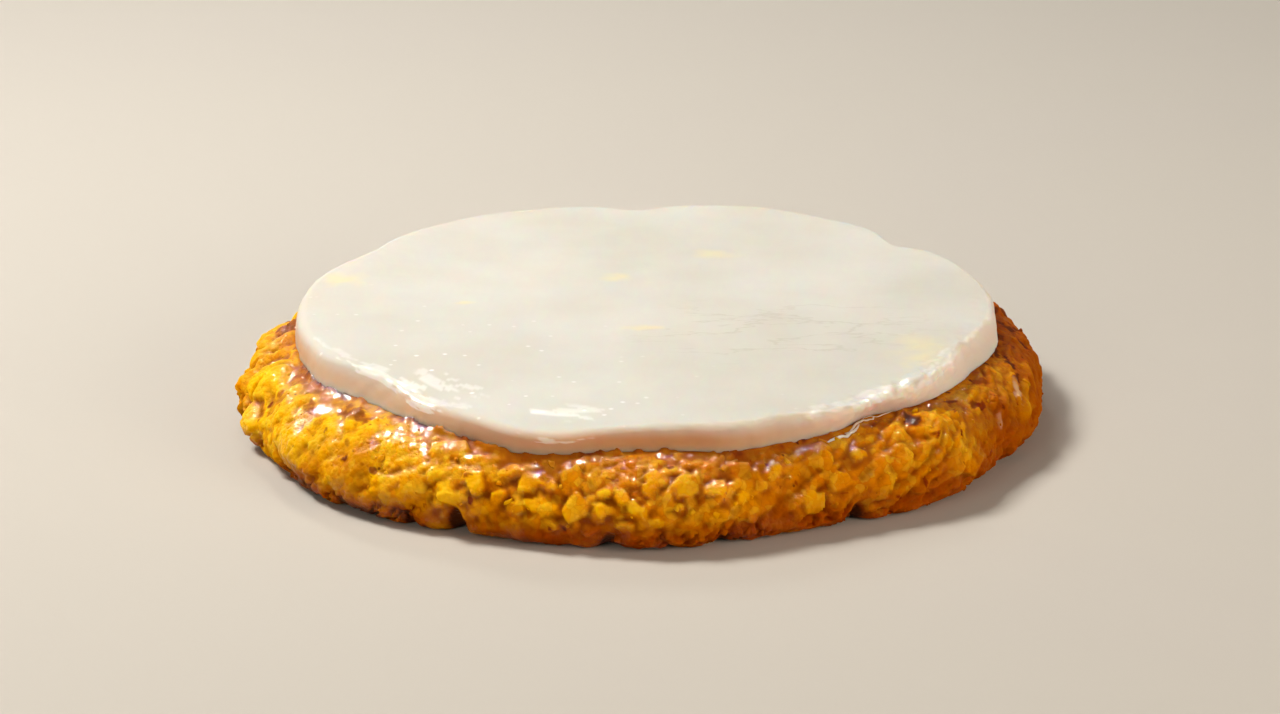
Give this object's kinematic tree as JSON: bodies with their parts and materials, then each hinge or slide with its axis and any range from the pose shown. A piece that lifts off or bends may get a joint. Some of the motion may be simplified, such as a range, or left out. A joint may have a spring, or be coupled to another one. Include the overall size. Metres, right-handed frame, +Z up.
{
  "type": "arepa corn cake",
  "caption": "Round griddled cake of coarse sweet corn with a low rounded edge and a round slice of fresh white cheese lying on its flat top.",
  "frame": {"origin": "centre of the flat underside that the cake rests on", "axes": "+Z up out of the cake towards the cheese, -Y towards the eater, +X to the eater's right"},
  "size_m": [0.129, 0.1306, 0.0176],
  "materials": {
    "corn_crust": "coarse golden sweet corn crust, toasted brown in patches, greasy with butter",
    "fresh_cheese": "smooth moist off-white fresh cheese with a soft wet shine"
  },
  "bodies": {
    "root": {"corn_cake": "corn_crust", "cheese_slice": "fresh_cheese"}
  },
  "joints": []
}
